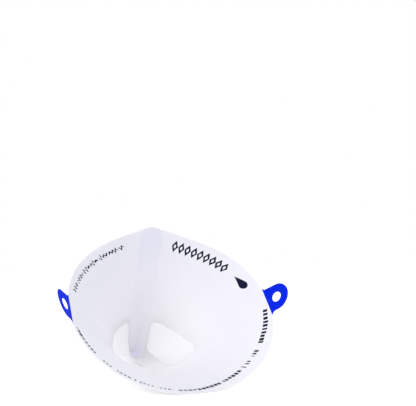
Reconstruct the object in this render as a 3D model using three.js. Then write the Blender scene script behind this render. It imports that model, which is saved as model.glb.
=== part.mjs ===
// A paper paint strainer: one die-cut sheet rolled into a cone and lapped along a glued seam.
// Two windows near its point are closed from the inside by a glued patch of gauze.
// It lies on the wall opposite its seam. Units are millimetres, and +Z is up.
//
// The sheet is drawn flat, as a point's slant and turn: its distance from the cone's point, and
// its flat angle from the middle of the seam. The same point is also (beside, up): its distance
// along the seam, and its distance out from the seam toward the middle of the sheet.
// Rolling keeps every length that is measured along the paper.

import * as THREE from "three";

const degrees = THREE.MathUtils.degToRad;

// Cone and rim
const coneHalfAngle = degrees(30);
const seamSlant = 130;
const sideSlant = 148.3;
const frontSlant = 176.5;
const rimLeanAtSeam = degrees(18.8);
const paperThickness = 0.3;

// Lapped seam and closed point
const lapWidth = 17.5;
const pointInside = 6;
const pointOutside = 2;

// Windows and the bar between them
const barWidth = 21;
const windowWidth = 27.5;
const windowLength = 63;
const windowMarginAtLap = 1.25;
const windowCorner = 4;

// Gauze patch
const gauzeThickness = 0.2;
const glueGap = 0.3;
const gauzeMarginBeside = 8;
const gauzeMarginAbove = 9;
const gauzeCorner = 8;

// Hanging ears, each on a flat stretch of the wall
const earStart = degrees(45.2);
const earEnd = degrees(56.7);
const earHeadRadius = 10.9;
const earHoleRadius = 4;
const earHoleReach = 9.6;
const earHoleShift = 2.6;

// Flat strip that the strainer rests on, as a turn about the cone's axis
const restTurn = degrees(6);

// Fineness of the facets
const coarseTurn = degrees(1.5);
const fineTurn = degrees(0.75);
const arcSteps = 8;
const sameSlant = 0.001;

// Sizes that follow from the ones above
const halfSheet = Math.PI * Math.sin(coneHalfAngle);
const lapEdge = lapWidth / 2;
const restStart = halfSheet - (restTurn / 2) * Math.sin(coneHalfAngle);
const windowLow = lapEdge + windowMarginAtLap;
const windowInner = barWidth / 2;
const windowOuter = windowInner + windowWidth;
const windowHigh = windowLow + windowLength;
const gauzeLow = lapEdge + glueGap;
const gauzeOuter = windowOuter + gauzeMarginBeside;
const gauzeHigh = windowHigh + gauzeMarginAbove;

// Flat sheet

const slantOf = (point) => point.length();
const turnOf = (point) => Math.atan2(point.y, point.x);
const fromPolar = (slant, turn) => new THREE.Vector2(slant * Math.cos(turn), slant * Math.sin(turn));

// The cut rim without its ears is a smooth curve through the three slants. It starts at its lean
// at the seam and is level at the front.
function plainRim(turn) {
  const share = Math.abs(turn) / halfSheet;
  const lean = -Math.tan(rimLeanAtSeam) * seamSlant * halfSheet;
  const whole = frontSlant - seamSlant - lean;
  const half = sideSlant - seamSlant - lean / 2;
  const second = 16 * half - 5 * whole - lean;
  const third = 14 * whole - 32 * half + 3 * lean;
  const fourth = 16 * half - 8 * whole - 2 * lean;
  return seamSlant + share * (lean + share * (second + share * (third + share * fourth)));
}

function roundedBox(low, high, radius) {
  const corners = [
    [high.x - radius, low.y + radius, -90],
    [high.x - radius, high.y - radius, 0],
    [low.x + radius, high.y - radius, 90],
    [low.x + radius, low.y + radius, 180],
  ];
  return corners.flatMap(([x, y, start]) => Array.from({ length: arcSteps + 1 }, (_, step) => {
    const angle = degrees(start + (90 * step) / arcSteps);
    return new THREE.Vector2(x + radius * Math.cos(angle), y + radius * Math.sin(angle));
  }));
}

// Slants at which the line at a turn enters and leaves an outline, and its span of turns
function makeGap(outline) {
  const byTurn = [...outline].sort((a, b) => turnOf(a) - turnOf(b));
  const [first, last] = [byTurn[0], byTurn[byTurn.length - 1]];
  const start = turnOf(first);
  const end = turnOf(last);
  const at = (turn) => {
    if (turn <= start) return [slantOf(first), slantOf(first)];
    if (turn >= end) return [slantOf(last), slantOf(last)];
    const line = fromPolar(1, turn);
    const slants = outline.flatMap((a, index) => {
      const b = outline[(index + 1) % outline.length];
      const [sideA, sideB] = [line.cross(a), line.cross(b)];
      if (sideA * sideB > 0 || sideA === sideB) return [];
      return [slantOf(a.clone().lerp(b, sideA / (sideA - sideB)))];
    });
    return [Math.min(...slants), Math.max(...slants)];
  };
  return { start, end, at };
}

const windowGap = makeGap(roundedBox(
  new THREE.Vector2(windowInner, windowLow), new THREE.Vector2(windowOuter, windowHigh), windowCorner,
));
const gauzeSpan = makeGap(roundedBox(
  new THREE.Vector2(-gauzeOuter, gauzeLow), new THREE.Vector2(gauzeOuter, gauzeHigh), gauzeCorner,
));

// Ears

function crossCircle(circle, turn, side) {
  const away = turn - turnOf(circle.centre);
  const far = slantOf(circle.centre);
  const room = Math.max(0, circle.radius ** 2 - (far * Math.sin(away)) ** 2);
  return far * Math.cos(away) + side * Math.sqrt(room);
}

const reachOf = (circle) => Math.asin(circle.radius / slantOf(circle.centre));

// A round head on a root that lies along the rim, with a fillet at each end of the root
function makeEar() {
  const start = fromPolar(plainRim(earStart), earStart);
  const end = fromPolar(plainRim(earEnd), earEnd);
  const along = end.clone().sub(start).normalize();
  const outward = new THREE.Vector2(along.y, -along.x);
  if (outward.dot(start) < 0) outward.negate();
  const centre = start.clone().lerp(end, 0.5).addScaledVector(along, earHoleShift)
    .addScaledVector(outward, earHoleReach);
  const fillet = (corner) => {
    const beside = Math.abs(centre.clone().sub(corner).dot(along));
    const radius = (beside ** 2 + earHoleReach ** 2 - earHeadRadius ** 2)
      / (2 * (earHeadRadius + earHoleReach));
    return { centre: corner.clone().addScaledVector(outward, radius), radius };
  };
  return {
    head: { centre, radius: earHeadRadius },
    hole: { centre, radius: earHoleRadius },
    fillets: [fillet(start), fillet(end)],
  };
}

const ear = makeEar();
const headTurn = turnOf(ear.head.centre);
const headStart = headTurn - reachOf(ear.head);
const headEnd = headTurn + reachOf(ear.head);
const holeStart = headTurn - reachOf(ear.hole);
const holeEnd = headTurn + reachOf(ear.hole);

function rimSlant(turn) {
  if (turn <= earStart || turn >= earEnd) return plainRim(turn);
  if (turn >= headStart && turn <= headEnd) return crossCircle(ear.head, turn, 1);
  return crossCircle(ear.fillets[turn < headStart ? 0 : 1], turn, -1);
}

function holeGap(turn) {
  const within = THREE.MathUtils.clamp(turn, holeStart, holeEnd);
  return [crossCircle(ear.hole, within, -1), crossCircle(ear.hole, within, 1)];
}

// Rolled wall. The cone's point is at the origin, its axis is +Z and its seam is on the +Y side.

function roundWall(turn) {
  const around = turn / Math.sin(coneHalfAngle);
  const [sine, cosine] = [Math.sin(coneHalfAngle), Math.cos(coneHalfAngle)];
  return {
    along: new THREE.Vector3(sine * Math.sin(around), sine * Math.cos(around), cosine),
    out: new THREE.Vector3(cosine * Math.sin(around), cosine * Math.cos(around), -sine),
  };
}

// A flat stretch of the wall spans two of the cone's straight lines
function flatWall(start, end, turn) {
  const [first, last] = [roundWall(start).along, roundWall(end).along];
  const angle = first.angleTo(last);
  const share = (turn - start) / (end - start);
  const along = first.clone().multiplyScalar(Math.sin((1 - share) * angle))
    .addScaledVector(last, Math.sin(share * angle)).normalize();
  return { along, out: first.clone().cross(last).normalize() };
}

const flats = [[earStart, earEnd], [-earEnd, -earStart], [restStart, 2 * halfSheet - restStart]];

function wallAt(turn) {
  const ahead = turn < -restStart ? turn + 2 * halfSheet : turn;
  const flat = flats.find(([start, end]) => ahead >= start - 1e-9 && ahead <= end + 1e-9);
  return flat ? flatWall(flat[0], flat[1], ahead) : roundWall(turn);
}

function place(turn, slant, offset) {
  const { along, out } = wallAt(turn);
  return along.clone().multiplyScalar(slant).addScaledVector(out, offset);
}

// Turns at which the wall has a straight line

const evenly = (start, end, count, spread = (share) => share) => Array.from(
  { length: count }, (_, step) => start + (end - start) * spread((step + 1) / count),
);
const spaced = (start, end, turn) => evenly(start, end, Math.max(1, Math.ceil((end - start) / turn)));
const slowStart = (share) => share ** 2;
const slowEnd = (share) => 1 - (1 - share) ** 2;
const slowBoth = (share) => (1 - Math.cos(Math.PI * share)) / 2;

function earTurns() {
  return [
    earStart,
    ...evenly(earStart, headStart - fineTurn / 20, arcSteps),
    headStart,
    ...evenly(headStart, holeStart, arcSteps, slowStart),
    ...evenly(holeStart, holeEnd, 2 * arcSteps, slowBoth),
    ...evenly(holeEnd, headEnd, arcSteps, slowEnd),
    ...evenly(headEnd + fineTurn / 20, earEnd, arcSteps),
  ];
}

function sheetTurns() {
  const lapAtRim = Math.asin(lapEdge / plainRim(Math.asin(lapEdge / seamSlant)));
  const fine = 6 * fineTurn;
  return [
    0,
    ...spaced(0, lapAtRim, coarseTurn),
    ...spaced(lapAtRim, windowGap.start, coarseTurn),
    ...spaced(windowGap.start, windowGap.start + fine, fineTurn),
    ...spaced(windowGap.start + fine, earStart, coarseTurn).slice(0, -1),
    ...earTurns(),
    ...spaced(earEnd, windowGap.end - fine, coarseTurn),
    ...spaced(windowGap.end - fine, windowGap.end, fineTurn),
    ...spaced(windowGap.end, restStart, coarseTurn),
    halfSheet,
  ];
}

// Both halves of the sheet are alike, so the turns go round from just past the front to the front
const mirrored = (turns) => [
  ...turns.slice(0, -1).reverse().map((turn) => -turn).filter((turn) => turn < 0),
  ...turns,
];

// Materials

const paperMaterial = new THREE.MeshStandardMaterial({
  color: new THREE.Color(0.9, 0.9, 0.94), roughness: 0.75, metalness: 0,
});
const gauzeMaterial = new THREE.MeshStandardMaterial({
  color: new THREE.Color(0.95, 0.96, 0.98), roughness: 0.6, metalness: 0,
});

// Closed meshes from rows of points

function makeMesh(name, material, strips) {
  const found = new Map();
  const positions = [];
  const triangles = [];
  const indexOf = (point) => {
    const key = point.toArray().map((value) => Math.round(value * 1e5)).join();
    if (!found.has(key)) {
      found.set(key, found.size);
      positions.push(...point.toArray());
    }
    return found.get(key);
  };
  const addTriangle = (...points) => {
    const corners = points.map(indexOf);
    if (new Set(corners).size === 3) triangles.push(...corners);
  };
  for (const { lower, upper, ring } of strips) {
    const count = ring ? lower.length : lower.length - 1;
    for (let side = 0; side < count; side += 1) {
      const next = (side + 1) % lower.length;
      addTriangle(lower[side], upper[side], upper[next]);
      addTriangle(lower[side], upper[next], lower[next]);
    }
  }
  const geometry = new THREE.BufferGeometry();
  geometry.setAttribute("position", new THREE.Float32BufferAttribute(positions, 3));
  geometry.setIndex(triangles);
  geometry.computeVertexNormals();
  const mesh = new THREE.Mesh(geometry, material);
  mesh.name = name;
  return mesh;
}

// Paper

function paperLine(turn) {
  const size = Math.abs(turn);
  const rim = rimSlant(size);
  const lap = Math.min(rim, lapEdge / Math.max(Math.sin(size), lapEdge / rim));
  const [windowFrom, windowTo] = windowGap.at(size).map((slant) => Math.max(lap, Math.min(slant, rim)));
  const [holeFrom, holeTo] = holeGap(size).map((slant) => Math.max(windowTo, Math.min(slant, rim)));
  const inside = (slant, layers = 0) => place(turn, slant, -layers * paperThickness);
  const outside = (slant) => place(turn, slant, paperThickness);
  return {
    points: {
      pointIn: inside(pointInside, 1), lapIn: inside(lap, 1), lapFoot: inside(lap),
      windowFromIn: inside(windowFrom), windowToIn: inside(windowTo),
      holeFromIn: inside(holeFrom), holeToIn: inside(holeTo), rimIn: inside(rim),
      pointOut: outside(pointOutside),
      windowFromOut: outside(windowFrom), windowToOut: outside(windowTo),
      holeFromOut: outside(holeFrom), holeToOut: outside(holeTo), rimOut: outside(rim),
    },
    open: { window: windowTo - windowFrom > sameSlant, hole: holeTo - holeFrom > sameSlant },
  };
}

function centreOf(row) {
  const centre = row.reduce((sum, point) => sum.add(point), new THREE.Vector3());
  return row.map(() => centre.clone().divideScalar(row.length));
}

function makePaper() {
  const lines = mirrored(sheetTurns()).map(paperLine);
  const row = (name) => lines.map((line) => line.points[name]);
  const around = (lowerName, upperName) => ({ lower: row(lowerName), upper: row(upperName), ring: true });
  const cutEdges = (gap, names) => lines.flatMap((line, index) => {
    const next = lines[(index + 1) % lines.length];
    if (!line.open[gap] && !next.open[gap]) return [];
    return names.map(([lower, upper]) => ({
      lower: [line.points[lower], next.points[lower]],
      upper: [line.points[upper], next.points[upper]],
      ring: false,
    }));
  });
  return makeMesh("paper_cone", paperMaterial, [
    { lower: centreOf(row("pointOut")), upper: row("pointOut"), ring: true },
    around("pointOut", "windowFromOut"),
    around("windowToOut", "holeFromOut"),
    around("holeToOut", "rimOut"),
    around("rimOut", "rimIn"),
    around("rimIn", "holeToIn"),
    around("holeFromIn", "windowToIn"),
    around("windowFromIn", "lapFoot"),
    around("lapFoot", "lapIn"),
    around("lapIn", "pointIn"),
    { lower: row("pointIn"), upper: centreOf(row("pointIn")), ring: true },
    ...cutEdges("window", [["windowFromOut", "windowFromIn"], ["windowToIn", "windowToOut"]]),
    ...cutEdges("hole", [["holeFromOut", "holeFromIn"], ["holeToIn", "holeToOut"]]),
  ]);
}

// Gauze

function gauzeTurns() {
  const fine = 6 * fineTurn;
  return [
    gauzeSpan.start,
    ...spaced(gauzeSpan.start, gauzeSpan.start + fine, fineTurn),
    ...spaced(gauzeSpan.start + fine, earStart, coarseTurn),
    ...spaced(earStart, earEnd, coarseTurn),
    ...spaced(earEnd, restStart, coarseTurn),
    halfSheet,
  ];
}

function makeGauze() {
  const right = gauzeTurns();
  const left = right.slice(0, -1).reverse().map((turn) => 2 * halfSheet - turn);
  const turns = [...right, ...left];
  const row = (side, offset) => turns.map((turn) => {
    const size = Math.min(turn, 2 * halfSheet - turn);
    return place(turn > halfSheet ? turn - 2 * halfSheet : turn, gauzeSpan.at(size)[side], offset);
  });
  const near = -glueGap;
  const far = -glueGap - gauzeThickness;
  const rows = [row(0, near), row(1, near), row(1, far), row(0, far)];
  return makeMesh("filter_gauze", gauzeMaterial, rows.map((lower, index) => (
    { lower, upper: rows[(index + 1) % rows.length], ring: false }
  )));
}

// The strainer is turned until its rest strip is level, and set down with the middle of its
// box over the origin.

const strainer = new THREE.Group();
strainer.add(makePaper(), makeGauze());
strainer.rotation.x = Math.PI / 2 - Math.atan(Math.tan(coneHalfAngle) * Math.cos(restTurn / 2));
strainer.position.z = paperThickness;
strainer.updateMatrixWorld(true);
strainer.position.y = -new THREE.Box3().setFromObject(strainer, true).getCenter(new THREE.Vector3()).y;

const model = new THREE.Group();
model.add(strainer);
export default model;
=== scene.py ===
# %% [markdown]
# # A paper cone strainer
# The strainer is one sheet of stiff printed paper, rolled into a cone and glued where its edges
# lap. Two windows near its closed point are covered from the inside by a patch of fine gauze, and
# a blue ear with a round hole stands up on each side of the rim. The solids give the exact shape,
# so here we copy them, draw the flat sheet on them as UV maps, and spend the effort on finishes.

# %% Load the frame
import math

import bmesh
import bpy
from mathutils import Matrix, Vector


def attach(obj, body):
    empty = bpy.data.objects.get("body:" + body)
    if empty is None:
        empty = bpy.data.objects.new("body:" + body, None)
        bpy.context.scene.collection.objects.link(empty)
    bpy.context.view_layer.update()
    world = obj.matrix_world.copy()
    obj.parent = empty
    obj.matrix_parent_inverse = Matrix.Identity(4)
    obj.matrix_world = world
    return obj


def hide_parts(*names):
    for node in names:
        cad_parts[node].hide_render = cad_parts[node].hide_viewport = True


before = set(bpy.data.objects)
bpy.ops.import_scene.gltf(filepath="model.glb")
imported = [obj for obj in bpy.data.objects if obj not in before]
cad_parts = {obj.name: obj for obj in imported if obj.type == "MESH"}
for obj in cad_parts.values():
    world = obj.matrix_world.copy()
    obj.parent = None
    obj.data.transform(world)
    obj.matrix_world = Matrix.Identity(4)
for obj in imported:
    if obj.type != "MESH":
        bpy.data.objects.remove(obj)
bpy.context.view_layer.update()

# %% [markdown]
# ## Camera
# A camera is an object with a matrix: its first three columns are what it calls right, up and
# backwards, and the fourth is where it stands. Writing these down directly is clearer than
# stacking turns, and they come from matching the rim and the seam with the reference view.

# %% Place the camera
CAMERA_RIGHT = Vector((0.9398, -0.3415, -0.0117))
CAMERA_UP = Vector((-0.0216, -0.0935, 0.9954))
CAMERA_BACK = Vector((-0.341, -0.9352, -0.0952))
CAMERA_PLACE = Vector((-0.1317, -0.4703, 0.0835))

camera_data = bpy.data.cameras.new("view")
camera_data.lens = 53.6
camera_data.sensor_width = 36
camera = bpy.data.objects.new("view", camera_data)
bpy.context.scene.collection.objects.link(camera)
camera_turn = Matrix((CAMERA_RIGHT, CAMERA_UP, CAMERA_BACK)).transposed().to_4x4()
camera.matrix_world = Matrix.Translation(CAMERA_PLACE) @ camera_turn
bpy.context.scene.camera = camera
print("camera stands at", tuple(round(value, 3) for value in CAMERA_PLACE))

# %% [markdown]
# ## The flat sheet
# Everything printed, cut or glued on the paper was laid out while it was flat. A point of the
# sheet is given by its distance from the cone's point, called its slant, and its flat angle from
# the seam, called its turn. Rolling a half disc into a cone doubles every angle about the axis.

# %% Sizes of the sheet
MM = 0.001
FRONT_TURN = math.pi / 2
CONE_HALF_ANGLE = math.radians(30)
CONE_POINT = Vector((0, 88.62 * MM, 0.3 * MM))
CONE_TILT = math.pi / 2 - math.atan(math.tan(CONE_HALF_ANGLE) * math.cos(math.radians(3)))
SEAM_SLANT, SIDE_SLANT, FRONT_SLANT = 130 * MM, 148.3 * MM, 176.5 * MM
RIM_LEAN = math.radians(18.8)
LAP_EDGE, LAP_CORNER = 8.75 * MM, 5 * MM
WINDOW_MIDDLE, WINDOW_HALF, WINDOW_CORNER = (24.25 * MM, 41.5 * MM), (13.75 * MM, 31.5 * MM), 4 * MM
EAR_START, EAR_END = math.radians(45.2), math.radians(56.7)


def rim_slant(turn):
    """Slant of the plain rim, without its ears: a smooth curve through the three slants."""
    share = abs(turn) / FRONT_TURN
    lean = -math.tan(RIM_LEAN) * SEAM_SLANT * FRONT_TURN
    whole, half = FRONT_SLANT - SEAM_SLANT - lean, SIDE_SLANT - SEAM_SLANT - lean / 2
    a = 16 * half - 5 * whole - lean
    b = 14 * whole - 32 * half + 3 * lean
    c = 16 * half - 8 * whole - 2 * lean
    return SEAM_SLANT + share * (lean + share * (a + share * (b + share * c)))


STEPS = 360
RIM_ARC = [0.0]
for step in range(STEPS):
    piece_of_arc = rim_slant((step + 0.5) / STEPS * FRONT_TURN) * FRONT_TURN / STEPS
    RIM_ARC.append(RIM_ARC[-1] + piece_of_arc)
print("half the rim is", round(RIM_ARC[-1] / MM, 1), "mm long")


def rim_arc_from_front(turn):
    """Length along the rim from the front to a turn."""
    spot = min(abs(turn) / FRONT_TURN, 1) * STEPS
    low = min(int(spot), STEPS - 1)
    return RIM_ARC[-1] - (RIM_ARC[low] + (spot - low) * (RIM_ARC[low + 1] - RIM_ARC[low]))


# %% [markdown]
# ## Copying a solid
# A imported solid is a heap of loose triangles, so its copy is merged first. Then its faces can be
# shaded smoothly along the rolled wall and kept sharp at the cut edges. Two UV maps are drawn on
# it: "sheet" is the flat sheet in metres, and "rim" is the length along the rim from the front
# and the depth below the rim, which is how a printer lays out a line of print around an edge.

# %% Copy and unroll
SAME_PLACE, SHARP = 0.01 * MM, math.radians(35)


def unroll(place):
    """Slant and turn of a place on the wall."""
    from_point = place - CONE_POINT
    seam_ward = math.cos(CONE_TILT) * from_point.y + math.sin(CONE_TILT) * from_point.z
    return from_point.length, abs(math.atan2(from_point.x, seam_ward)) / 2


def copy_solid(node, name):
    """A merged copy of a solid with its two UV maps, smooth along the wall."""
    mesh = bpy.data.meshes.new(name)
    shape = bmesh.new()
    shape.from_mesh(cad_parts[node].data)
    bmesh.ops.remove_doubles(shape, verts=shape.verts, dist=SAME_PLACE)
    for layer in list(shape.loops.layers.uv):
        shape.loops.layers.uv.remove(layer)
    sheet, rim = shape.loops.layers.uv.new("sheet"), shape.loops.layers.uv.new("rim")
    for face in shape.faces:
        face.smooth = True
        side = 1 if face.calc_center_median().x > 0 else -1
        for loop in face.loops:
            slant, turn = unroll(loop.vert.co)
            loop[sheet].uv = (side * slant * math.cos(turn), slant * math.sin(turn))
            loop[rim].uv = (side * rim_arc_from_front(turn), rim_slant(turn) - slant)
    for edge in shape.edges:
        edge.smooth = len(edge.link_faces) == 2 and edge.calc_face_angle(0) < SHARP
    shape.to_mesh(mesh)
    shape.free()
    piece = bpy.data.objects.new(name, mesh)
    bpy.context.scene.collection.objects.link(piece)
    print(name, "has", len(mesh.vertices), "vertices and", len(mesh.polygons), "faces")
    return piece


paper = copy_solid("paper_cone", "printed_sheet")
gauze = copy_solid("filter_gauze", "gauze_patch")

# %% [markdown]
# ## The corner at the seam
# Where the two edges of the sheet lap, the rims don't quite meet: the rounded corner of the outer
# edge stands a little over the rim beside it. Lifting a few points of the rim along the wall is
# enough, so this is a small move of vertices, as a sculptor's grab brush would make.

# %% Lift the lapped corner
LAP_TURN, CORNER_LIFT, AT_RIM = math.radians(4.2), 0.8 * MM, 0.3 * MM
lifted = 0
for vertex in paper.data.vertices:
    slant, turn = unroll(vertex.co)
    if vertex.co.x < 0 and turn < LAP_TURN and rim_slant(turn) - slant < AT_RIM:
        lift = CORNER_LIFT * math.sin(math.pi * turn / LAP_TURN)
        vertex.co += (vertex.co - CONE_POINT).normalized() * lift
        lifted += 1
print("lifted", lifted, "points at the seam's corner")

# %% [markdown]
# ## Small helpers for node trees
# A finish is a chain of small sums, so a few helpers keep it readable: one sets or links a
# socket, one adds a math node, and one turns a distance into a soft-edged mask.

# %% Node helpers


def join(tree, socket, value):
    """Links a socket to another, or gives it a plain value."""
    if isinstance(value, bpy.types.NodeSocket):
        tree.links.new(value, socket)
    else:
        socket.default_value = value


def calc(tree, operation, *values):
    """One math node."""
    node = tree.nodes.new("ShaderNodeMath")
    node.operation = operation
    for socket, value in zip(node.inputs, values):
        join(tree, socket, value)
    return node.outputs[0]


def far(tree, first, second):
    """Length of a flat vector with two parts."""
    squares = [calc(tree, "POWER", part, 2.0) for part in (first, second)]
    return calc(tree, "SQRT", calc(tree, "ADD", *squares))


def fade(tree, value, start, end):
    """0 at start, 1 at end, and soft between them."""
    node = tree.nodes.new("ShaderNodeMapRange")
    node.interpolation_type = "SMOOTHSTEP"
    for name, number in (("Value", value), ("From Min", start), ("From Max", end)):
        join(tree, node.inputs[name], number)
    return node.outputs["Result"]


def inside_span(tree, value, low, high, soft):
    """1 between two values, with soft ends."""
    past_low = fade(tree, value, calc(tree, "SUBTRACT", low, soft), calc(tree, "ADD", low, soft))
    under_high = fade(tree, value, calc(tree, "ADD", high, soft), calc(tree, "SUBTRACT", high, soft))
    return calc(tree, "MULTIPLY", past_low, under_high)


def noise(tree, place, scale, detail):
    """Smooth noise in 3D."""
    node = tree.nodes.new("ShaderNodeTexNoise")
    join(tree, node.inputs["Vector"], place)
    node.inputs["Scale"].default_value = scale
    node.inputs["Detail"].default_value = detail
    return node.outputs["Fac"]


def cell_number(tree, value):
    """A steady random number for each cell."""
    node = tree.nodes.new("ShaderNodeTexWhiteNoise")
    node.noise_dimensions = "1D"
    join(tree, node.inputs["W"], value)
    return node.outputs["Value"]


def blend_colour(tree, share, first, second, mode="MIX"):
    """Mixes two colours."""
    node = tree.nodes.new("ShaderNodeMix")
    node.data_type = "RGBA"
    node.blend_type = mode
    join(tree, node.inputs["Factor"], share)
    join(tree, node.inputs["A"], first)
    join(tree, node.inputs["B"], second)
    return node.outputs["Result"]


def split(tree, vector):
    """The x, y and z of a vector."""
    node = tree.nodes.new("ShaderNodeSeparateXYZ")
    join(tree, node.inputs[0], vector)
    return node.outputs


SOCKETS = {"float": "NodeSocketFloat", "vector": "NodeSocketVector"}


def start_group(name, takes, gives):
    """A new node group with named sockets."""
    tree = bpy.data.node_groups.new(name, "ShaderNodeTree")
    for way, sockets in (("INPUT", takes), ("OUTPUT", gives)):
        for socket, kind in sockets.items():
            tree.interface.new_socket(name=socket, in_out=way, socket_type=SOCKETS[kind])
    takes_node, gives_node = tree.nodes.new("NodeGroupInput"), tree.nodes.new("NodeGroupOutput")
    return tree, takes_node.outputs, gives_node.inputs


def place_group(tree, group, **values):
    """Puts a group into a tree, with its own values."""
    node = tree.nodes.new("ShaderNodeGroup")
    node.node_tree = group
    for name, value in values.items():
        join(tree, node.inputs[name], value)
    return node.outputs


print("socket kinds:", sorted(SOCKETS))

# %% [markdown]
# ## Window mask
# Both the paper and the gauze need to know how far a point of the sheet is from a window's edge:
# the gauze shows where it is open and nearly vanishes where it is glued down, and the paper is
# painted a little greyer around the opening, for the glue on it and as painted shade. A rounded box
# has a simple distance: measure past the inner box's sides, take the length, and subtract the corner's
# radius.

# %% Build the window distance group
window_distance, takes, gives = start_group(
    "window distance", {"Sheet": "vector"}, {"Distance": "float"})
tree = window_distance
beside, along, _ = split(tree, takes["Sheet"])
past = []
for value, middle, half in zip((calc(tree, "ABSOLUTE", beside), along), WINDOW_MIDDLE, WINDOW_HALF):
    off_middle = calc(tree, "ABSOLUTE", calc(tree, "SUBTRACT", value, middle))
    past.append(calc(tree, "SUBTRACT", off_middle, half - WINDOW_CORNER))
outer = far(tree, *[calc(tree, "MAXIMUM", side, 0.0) for side in past])
inner = calc(tree, "MINIMUM", calc(tree, "MAXIMUM", *past), 0.0)
join(tree, gives["Distance"], calc(tree, "SUBTRACT", calc(tree, "ADD", outer, inner), WINDOW_CORNER))
print("window distance group has", len(tree.nodes), "nodes")

# %% [markdown]
# ## Paper grain
# Stiff strainer paper is nearly smooth, with a cloudy look where its fibres lie thicker. Coarse
# noise makes the clouds and fine noise makes the tooth that the light catches.

# %% Build the paper grain group
CLOUD_SCALE, TOOTH_SCALE, GRAIN_DETAIL, CLOUD_HEIGHT = 55, 1400, 3, 0.35
paper_grain, takes, gives = start_group(
    "paper grain", {"Place": "vector", "Clouding": "float"}, {"Shade": "float", "Height": "float"})
tree = paper_grain
clouds = noise(tree, takes["Place"], CLOUD_SCALE, GRAIN_DETAIL)
tooth = noise(tree, takes["Place"], TOOTH_SCALE, GRAIN_DETAIL)
join(tree, gives["Shade"], calc(tree, "SUBTRACT", 1.0, calc(tree, "MULTIPLY", takes["Clouding"], clouds)))
join(tree, gives["Height"], calc(tree, "ADD", calc(tree, "MULTIPLY", clouds, CLOUD_HEIGHT), tooth))
print("paper grain group has", len(tree.nodes), "nodes")

# %% [markdown]
# ## Rows of plain print marks
# The rim carries lines of small dark print. Here they are plain marks that say nothing: strokes,
# waves, lozenges and a drop. A row has a start and an end along the rim and a top and a bottom
# below it, and cutting the length into equal cells gives each mark its own number to vary by.

# %% Build the stroke row group
SOFT = 0.12 * MM
CELL_SOFT, LEAST_WEIGHT, MOST_SHORTER = 0.05, 0.6, 0.22
stroke_row, takes, gives = start_group("stroke row", {
    "Rim": "vector", "Start": "float", "End": "float", "Top": "float", "Bottom": "float",
    "Pitch": "float", "Weight": "float"}, {"Ink": "float"})
tree = stroke_row
length, depth, _ = split(tree, takes["Rim"])
cells = calc(tree, "DIVIDE", length, takes["Pitch"])
number = calc(tree, "FLOOR", cells)
in_cell = calc(tree, "ABSOLUTE", calc(tree, "SUBTRACT", calc(tree, "FRACT", cells), 0.5))
vary = calc(tree, "MULTIPLY", 1 - LEAST_WEIGHT, cell_number(tree, calc(tree, "ADD", number, 71.0)))
thick = calc(tree, "MULTIPLY", takes["Weight"], calc(tree, "ADD", LEAST_WEIGHT, vary))
bar = fade(tree, in_cell, calc(tree, "ADD", thick, CELL_SOFT), calc(tree, "SUBTRACT", thick, CELL_SOFT))
shorter = calc(tree, "MULTIPLY", cell_number(tree, calc(tree, "ADD", number, 313.0)), MOST_SHORTER)
full_height = calc(tree, "SUBTRACT", takes["Bottom"], takes["Top"])
top = calc(tree, "ADD", takes["Top"], calc(tree, "MULTIPLY", shorter, full_height))
in_height = inside_span(tree, depth, top, takes["Bottom"], SOFT)
in_length = inside_span(tree, length, takes["Start"], takes["End"], SOFT)
join(tree, gives["Ink"], calc(tree, "MULTIPLY", bar, calc(tree, "MULTIPLY", in_height, in_length)))
print("stroke row group has", len(tree.nodes), "nodes")

# %% [markdown]
# ## Ink on the sheet
# All the print is one ink, so the rows are gathered in one group. The low row sits on a curve
# that swings away from the rim and back to it at the front.

# %% Start the ink group with the low row
rim_ink, takes, gives = start_group("rim ink", {"Rim": "vector"}, {"Ink": "float"})
tree = rim_ink
length, depth, _ = split(tree, takes["Rim"])

ROW_DEPTH, ROW_RISE, ROW_BEND = 11.5 * MM, 0.1233, 1.747
from_front = calc(tree, "ABSOLUTE", length)
slope = calc(tree, "SUBTRACT", ROW_RISE, calc(tree, "MULTIPLY", from_front, ROW_BEND))
row_line = calc(tree, "ADD", ROW_DEPTH, calc(tree, "MULTIPLY", from_front, slope))
below_row = tree.nodes.new("ShaderNodeCombineXYZ")
join(tree, below_row.inputs["X"], length)
join(tree, below_row.inputs["Y"], calc(tree, "SUBTRACT", depth, row_line))


def along_rim(side, turn):
    """Signed length along the rim from the front, on the right (1) or the left (-1)."""
    return side * rim_arc_from_front(math.radians(turn))


def row_of_strokes(start, end, half_high, pitch, weight):
    """A row of plain strokes about the low row's line, between two lengths along the rim."""
    return place_group(tree, stroke_row, Rim=below_row.outputs[0], Start=start, End=end,
                       Top=-half_high * MM, Bottom=half_high * MM, Pitch=pitch * MM, Weight=weight)["Ink"]


# Half the height in mm, the pitch in mm and the weight of three kinds of stroke
BOLD, LIGHT, RULE = (2.5, 3.4, 0.45), (2.3, 3.0, 0.34), (3.2, 4.0, 0.7)
RIGHT_ROWS = ((64.8, 53.5, BOLD), (69.8, 67.0, LIGHT), (73.0, 71.3, LIGHT), (74.4, 74.0, RULE),
              (81.7, 75.4, BOLD))
LEFT_ROWS = ((82.0, 85.5, LIGHT), (77.6, 81.0, LIGHT), (76.3, 76.7, RULE), (71.6, 75.5, BOLD),
             (67.0, 70.3, LIGHT), (56.5, 64.8, BOLD))
ink = row_of_strokes(along_rim(-1, 86.5), along_rim(1, 82.6), *BOLD)
for side, rows in ((1, RIGHT_ROWS), (-1, LEFT_ROWS)):
    for start, end, kind in rows:
        row = row_of_strokes(along_rim(side, start), along_rim(side, end), *kind)
        ink = calc(tree, "MAXIMUM", ink, row)
print("low row:", 1 + len(RIGHT_ROWS) + len(LEFT_ROWS), "runs of strokes")

# %% [markdown]
# ### Lozenges, waves and a drop
# A lozenge is where the sum of two slopes has one value. The waves are a thin line whose depth
# swings as it runs, more in some cells than in others. The drop is a round end with a point
# pulled out of it.

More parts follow.
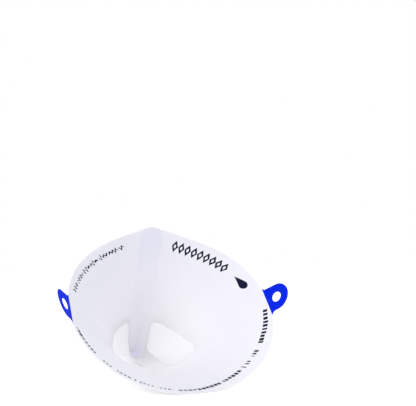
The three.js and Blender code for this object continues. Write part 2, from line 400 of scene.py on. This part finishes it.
# %% Finish the ink group
LOZENGES, LOZENGE_DEPTH, LOZENGE_HALF, LOZENGE_LINE = 9, 10.6 * MM, 4.6 * MM, 0.85
start, end = along_rim(1, 33.2), along_rim(1, 9)
cells = calc(tree, "DIVIDE", calc(tree, "SUBTRACT", length, start), (end - start) / LOZENGES)
across = calc(tree, "ABSOLUTE", calc(tree, "SUBTRACT", calc(tree, "FRACT", cells), 0.5))
off_middle = calc(tree, "ABSOLUTE", calc(tree, "SUBTRACT", depth, LOZENGE_DEPTH))
down = calc(tree, "DIVIDE", off_middle, LOZENGE_HALF)
slopes = calc(tree, "ADD", calc(tree, "MULTIPLY", across, 2.5), down)
line = calc(tree, "ABSOLUTE", calc(tree, "SUBTRACT", slopes, LOZENGE_LINE))
in_row = inside_span(tree, length, start, end, SOFT)
lozenges = calc(tree, "MULTIPLY", fade(tree, line, 0.40, 0.30), in_row)

WAVE_DEPTH, WAVE_PITCH, WORD_PITCH = 9.8 * MM, 3.3 * MM, 11.3 * MM
LEAST_SWING, MORE_SWING, WAVE_LEAN = 0.55 * MM, 2.0 * MM, 0.5
leant = calc(tree, "ADD", length, calc(tree, "MULTIPLY", depth, WAVE_LEAN))
swing = calc(tree, "SINE", calc(tree, "MULTIPLY", leant, 2 * math.pi / WAVE_PITCH))
wave_number = calc(tree, "FLOOR", calc(tree, "DIVIDE", length, WAVE_PITCH))
size = calc(tree, "ADD", LEAST_SWING, calc(tree, "MULTIPLY", cell_number(tree, wave_number), MORE_SWING))
from_line = calc(tree, "SUBTRACT", depth, WAVE_DEPTH)
away = calc(tree, "ABSOLUTE", calc(tree, "SUBTRACT", from_line, calc(tree, "MULTIPLY", swing, size)))
words = fade(tree, calc(tree, "FRACT", calc(tree, "DIVIDE", length, WORD_PITCH)), 0.12, 0.14)
waves = calc(tree, "MULTIPLY", fade(tree, away, 1.25 * MM, 0.8 * MM), words)
in_row = inside_span(tree, length, along_rim(-1, 12), along_rim(-1, 43), SOFT)
waves = calc(tree, "MULTIPLY", waves, in_row)

DROP_DEPTH, DROP_RADIUS, TAIL_END, TAIL_SLOPE = 11.5 * MM, 4.0 * MM, 7.5 * MM, 0.37
drop_along = calc(tree, "SUBTRACT", length, along_rim(1, 40))
drop_across = calc(tree, "ABSOLUTE", calc(tree, "SUBTRACT", depth, DROP_DEPTH))
from_middle = far(tree, calc(tree, "ADD", drop_along, DROP_RADIUS), drop_across)
round_end = fade(tree, from_middle, DROP_RADIUS + 0.1 * MM, DROP_RADIUS - 0.1 * MM)
tail_half = calc(tree, "MULTIPLY", calc(tree, "SUBTRACT", TAIL_END, drop_along), TAIL_SLOPE)
in_tail = fade(tree, calc(tree, "SUBTRACT", drop_across, tail_half), SOFT, -SOFT)
tail = calc(tree, "MULTIPLY", inside_span(tree, drop_along, -3.0 * MM, TAIL_END, SOFT), in_tail)
for mark in (lozenges, waves, round_end, tail):
    ink = calc(tree, "MAXIMUM", ink, mark)
join(tree, gives["Ink"], ink)
print("rim ink group has", len(tree.nodes), "nodes")

# %% [markdown]
# ## Blue ears
# The ears are flooded with blue up to a straight line across their root, with a thin strip of
# bare paper before it. The line is the same on both ears because the flat sheet is mirrored.

# %% Build the ear ink group
BARE_STRIP, EAR_SPREAD = (0.35 * MM, 0.6 * MM), 4 * MM
root = []
for turn in (EAR_START, EAR_END):
    root.append(Vector((math.cos(turn), math.sin(turn))) * rim_slant(turn))
root_way = (root[1] - root[0]).normalized()
root_out = Vector((root_way.y, -root_way.x))
if root_out.dot(root[0]) < 0:
    root_out.negate()
ear_ink, takes, gives = start_group("ear ink", {"Sheet": "vector"}, {"Ink": "float"})
tree = ear_ink
beside, along, _ = split(tree, takes["Sheet"])
beside = calc(tree, "ABSOLUTE", beside)
ways = []
for way in (root_out, root_way):
    parts = [calc(tree, "MULTIPLY", beside, way.x), calc(tree, "MULTIPLY", along, way.y)]
    ways.append(calc(tree, "ADD", *parts))
beyond = calc(tree, "SUBTRACT", ways[0], root_out.dot(root[0]))
first, last = root_way.dot(root[0]) - EAR_SPREAD, root_way.dot(root[1]) + EAR_SPREAD
on_ear = inside_span(tree, ways[1], first, last, SOFT)
join(tree, gives["Ink"], calc(tree, "MULTIPLY", fade(tree, beyond, *BARE_STRIP), on_ear))
print("ear root is", round((root[1] - root[0]).length / MM, 1), "mm long")

# %% [markdown]
# ## Paper materials
# The inner face is printed, the back is plain but for its blue ears, and the cut edges are bare.
# All three have the same grain. The glued lap is two layers thick, so it lets less light through
# and looks a little darker and bluer. Its edge shows as a small step on the back.

# %% Make the paper materials


def uv_map(tree, name):
    """A named UV map of the piece."""
    node = tree.nodes.new("ShaderNodeUVMap")
    node.uv_map = name
    return node.outputs["UV"]


def start_material(name, roughness):
    """A new material with its shader, ready for links."""
    material = bpy.data.materials.new(name)
    material.use_nodes = True
    shader = material.node_tree.nodes["Principled BSDF"]
    shader.inputs["Roughness"].default_value = roughness
    return material, material.node_tree, shader


def add_bump(tree, shader, height, strength, distance):
    """A bump that feeds the shader's normal."""
    node = tree.nodes.new("ShaderNodeBump")
    node.inputs["Strength"].default_value = strength
    node.inputs["Distance"].default_value = distance
    join(tree, node.inputs["Height"], height)
    join(tree, shader.inputs["Normal"], node.outputs["Normal"])


PAPER_WHITE = (0.958, 0.950, 0.977, 1)
LAP_TINT = (0.97, 0.968, 0.985, 1)
# Painted shade: the wall grows darker towards the rim, from 65 to 120 mm of slant.
PAINTED_RIM_SHADE = (0.942, 0.948, 0.96, 1)
# Near the point the paper and its cut edges are darker and bluer: partly their layers and glue, partly
# painted shade of the deep point.
POINT_LAYERS_AND_SHADE = (0.975, 0.962, 1.0, 1)
POINT_EDGE_LAYERS_AND_SHADE = (0.85, 0.85, 0.93, 1)
# Round each window the paper is a little greyer: glue, and painted shade of the gauze over it.
GLUE_AND_SHADE_TINT = (0.992, 0.988, 0.995, 1)
INK_NAVY = (0.010, 0.012, 0.045, 1)
EAR_BLUE = (0.0, 0.02, 0.73, 1)
LAP_FADE = (LAP_EDGE + 0.35 * MM, LAP_EDGE - 0.25 * MM)
GLUE_AND_SHADE_FADE, POINT_LAYERS_AND_SHADE_FADE, RIM_SHADE_FADE = (8.6 * MM, 6.2 * MM), (24 * MM, 5 * MM), (65 * MM, 120 * MM)


def lap_mask(tree, along, depth):
    """1 on the lap, which has a rounded corner at the rim."""
    corner = calc(tree, "MAXIMUM", calc(tree, "SUBTRACT", LAP_CORNER, depth), 0.0)
    left_over = calc(tree, "SUBTRACT", LAP_CORNER ** 2, calc(tree, "POWER", corner, 2.0))
    arc = calc(tree, "SQRT", calc(tree, "MAXIMUM", left_over, 0.0))
    rounding = calc(tree, "SUBTRACT", LAP_CORNER, arc)
    return fade(tree, calc(tree, "ADD", along, rounding), *LAP_FADE)


def make_paper(name, printed, flooded, lap_step, point_layers_and_shade):
    """Paper, with or without rim print and blue ears, with a drawn step at the lap's edge, and darker
    near the point for its layers and painted shade.
    """
    material, tree, shader = start_material(name, 0.62)
    shader.inputs["Specular IOR Level"].default_value = 0.05
    shader.inputs["Subsurface Weight"].default_value = 0.75
    shader.inputs["Subsurface Radius"].default_value = (1, 1, 1)
    shader.inputs["Subsurface Scale"].default_value = 0.5 * MM
    sheet, rim = uv_map(tree, "sheet"), uv_map(tree, "rim")
    object_place = tree.nodes.new("ShaderNodeTexCoord").outputs["Object"]
    grain = place_group(tree, paper_grain, Place=object_place, Clouding=0.035)
    beside, along, _ = split(tree, sheet)
    slant = far(tree, beside, along)
    lap = lap_mask(tree, along, split(tree, rim)[1])
    distance = place_group(tree, window_distance, Sheet=sheet)["Distance"]
    off_lap = calc(tree, "SUBTRACT", 1.0, lap)
    glue_and_shade_ring = calc(tree, "MULTIPLY", fade(tree, distance, *GLUE_AND_SHADE_FADE), off_lap)
    colour = blend_colour(tree, 1.0, PAPER_WHITE, grain["Shade"], "MULTIPLY")
    # Tints for the lap, for glue and painted shade round the windows, for layers and painted shade near
    # the point, and painted shade towards the rim.
    for share, tint in ((lap, LAP_TINT), (glue_and_shade_ring, GLUE_AND_SHADE_TINT),
                        (fade(tree, slant, *POINT_LAYERS_AND_SHADE_FADE), point_layers_and_shade),
                        (fade(tree, slant, *RIM_SHADE_FADE), PAINTED_RIM_SHADE)):
        colour = blend_colour(tree, share, colour, tint, "MULTIPLY")
    if printed:
        colour = blend_colour(tree, place_group(tree, rim_ink, Rim=rim)["Ink"], colour, INK_NAVY)
    if flooded:
        colour = blend_colour(tree, place_group(tree, ear_ink, Sheet=sheet)["Ink"], colour, EAR_BLUE)
    join(tree, shader.inputs["Base Color"], colour)
    height = calc(tree, "ADD", grain["Height"], calc(tree, "MULTIPLY", lap, lap_step))
    add_bump(tree, shader, height, 0.3, 0.05 * MM)
    print(name, "has", len(tree.nodes), "nodes")
    return material


printed_paper = make_paper("printed paper", True, True, 0.0, POINT_LAYERS_AND_SHADE)
plain_paper = make_paper("plain paper back", False, True, 6.0, POINT_LAYERS_AND_SHADE)
cut_edge = make_paper("cut paper edge", False, False, 0.0, POINT_EDGE_LAYERS_AND_SHADE)

# %% [markdown]
# ## Gauze material
# The gauze is fine white nylon cloth, woven square to the flat sheet. Its threads are only a few
# tenths of a millimetre apart, so the weave is drawn as bump and as small holes of part alpha.
# Where it is glued down on the paper it nearly vanishes, because the clear glue fills its holes.

# %% Make the gauze material
THREAD_PITCH = 0.45 * MM
NYLON_WHITE = (0.95, 0.955, 0.962, 1)
THREAD_CLEAR, HOLE_CLEAR = 0.37, 0.38
GLUED_CLEAR, MARGIN_FADE = 0.985, (3.0 * MM, 7.2 * MM)
gauze_white, tree, shader = start_material("gauze", 0.55)
sheet = uv_map(tree, "sheet")
beside, along, _ = split(tree, sheet)
threads = []
for part in (beside, along):
    threads.append(calc(tree, "SINE", calc(tree, "MULTIPLY", part, 2 * math.pi / THREAD_PITCH)))
weave = calc(tree, "MAXIMUM", *threads)
shade = calc(tree, "ADD", 0.95, calc(tree, "MULTIPLY", weave, 0.03))
join(tree, shader.inputs["Base Color"], blend_colour(tree, 1.0, NYLON_WHITE, shade, "MULTIPLY"))
distance = place_group(tree, window_distance, Sheet=sheet)["Distance"]
glued = fade(tree, distance, 0.0, 0.6 * MM)
hole = fade(tree, weave, 0.35, -0.2)
open_part = calc(tree, "ADD", THREAD_CLEAR, calc(tree, "MULTIPLY", hole, HOLE_CLEAR))
clearer = calc(tree, "MULTIPLY", fade(tree, distance, *MARGIN_FADE), 1 - GLUED_CLEAR)
drowned = calc(tree, "ADD", GLUED_CLEAR, clearer)
open_share = calc(tree, "MULTIPLY", calc(tree, "SUBTRACT", 1.0, glued), open_part)
see_through = calc(tree, "ADD", open_share, calc(tree, "MULTIPLY", glued, drowned))
join(tree, shader.inputs["Alpha"], calc(tree, "SUBTRACT", 1.0, see_through))
add_bump(tree, shader, weave, 0.3, 0.06 * MM)
print("gauze material has", len(tree.nodes), "nodes")

# %% [markdown]
# ## Putting the finishes on
# A mesh can hold several materials, and each face names one by its number. A face whose normal
# points in through the wall is printed, one that points out is the back, and one that looks
# along the wall is a cut edge, which shows the white core of the paper.

# %% Dress the pieces
AXIS = Vector((0, -math.sin(CONE_TILT), math.cos(CONE_TILT)))
FACING = 0.6


def paper_side(face):
    """0 for a printed inner face, 1 for the back and 2 for a cut edge."""
    from_point = face.center - CONE_POINT
    radial = (from_point - AXIS * from_point.dot(AXIS)).normalized()
    wall_normal = radial * math.cos(CONE_HALF_ANGLE) - AXIS * math.sin(CONE_HALF_ANGLE)
    outward = face.normal.dot(wall_normal)
    return 0 if outward < -FACING else 1 if outward > FACING else 2


for material in (printed_paper, plain_paper, cut_edge):
    paper.data.materials.append(material)
for face in paper.data.polygons:
    face.material_index = paper_side(face)
gauze.data.materials.append(gauze_white)
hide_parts("paper_cone")
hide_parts("filter_gauze")
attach(paper, "root")
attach(gauze, "root")
sides = [face.material_index for face in paper.data.polygons]
print("inner, back and edge faces:", [sides.count(kind) for kind in range(3)])

# %% [markdown]
# ## Floor and world
# A pale floor and a white world make the plain surroundings. Both are white where the camera
# looks at them and weaker as lights, so the background stays white without washing out the paper.

# %% Make the surroundings
FLOOR_HALF, FLOOR_GREY, FLOOR_GLOW = 6, (0.93, 0.93, 0.93, 1), 0.6
WORLD_LIGHT, WORLD_TINT, WHITE = 0.76, (0.92, 0.93, 1.0, 1), (1, 1, 1, 1)
floor_shape = bmesh.new()
bmesh.ops.create_grid(floor_shape, x_segments=1, y_segments=1, size=FLOOR_HALF)
floor_mesh = bpy.data.meshes.new("floor")
floor_shape.to_mesh(floor_mesh)
floor_shape.free()
floor = bpy.data.objects.new("floor", floor_mesh)
bpy.context.scene.collection.objects.link(floor)
floor_white, tree, shader = start_material("floor", 0.9)
shader.inputs["Base Color"].default_value = FLOOR_GREY
shader.inputs["Emission Color"].default_value = WHITE
path = tree.nodes.new("ShaderNodeLightPath").outputs
join(tree, shader.inputs["Emission Strength"], calc(tree, "MULTIPLY", path["Is Camera Ray"], FLOOR_GLOW))
shader.inputs["Specular IOR Level"].default_value = 0.1
floor.data.materials.append(floor_white)

world = bpy.data.worlds.new("studio")
bpy.context.scene.world = world
world.use_nodes = True
tree = world.node_tree
path = tree.nodes.new("ShaderNodeLightPath").outputs
seen = calc(tree, "MAXIMUM", path["Is Camera Ray"], path["Is Glossy Ray"])
seen = calc(tree, "MAXIMUM", seen, path["Is Transmission Ray"])
background = tree.nodes["Background"]
extra = calc(tree, "MULTIPLY", seen, 1 - WORLD_LIGHT)
join(tree, background.inputs["Strength"], calc(tree, "ADD", WORLD_LIGHT, extra))
join(tree, background.inputs["Color"], blend_colour(tree, seen, WORLD_TINT, WHITE))
print("floor and world:", floor.name, world.name)

# %% [markdown]
# ## Lights
# Two large soft lamps stand in front of the mouth and above it. The left one is a little warmer,
# so the right wall that it shines on is a warmer white than the left wall.

# %% Make the lights
LAMP_AIM, LAMP_SIZE = Vector((0, -0.03, 0.02)), 0.8
LAMPS = (("window light", Vector((-0.8, -0.8, 1.0)), 4.4, (1.0, 0.965, 0.925)),
         ("front light", Vector((0.0, -1.0, 1.1)), 3.6, (1.0, 0.98, 0.96)))
for name, place, power, colour in LAMPS:
    data = bpy.data.lights.new(name, "AREA")
    data.shape, data.size, data.energy, data.color = "SQUARE", LAMP_SIZE, power, colour
    lamp = bpy.data.objects.new(name, data)
    bpy.context.scene.collection.objects.link(lamp)
    turn = (place - LAMP_AIM).to_track_quat("Z", "Y").to_matrix().to_4x4()
    lamp.matrix_world = Matrix.Translation(place) @ turn
print("lights:", [lamp[0] for lamp in LAMPS])

# %% [markdown]
# ## Colour
# Standard view transform shows a colour about as it is written.

# %% Finish
bpy.context.scene.view_settings.view_transform = "Standard"
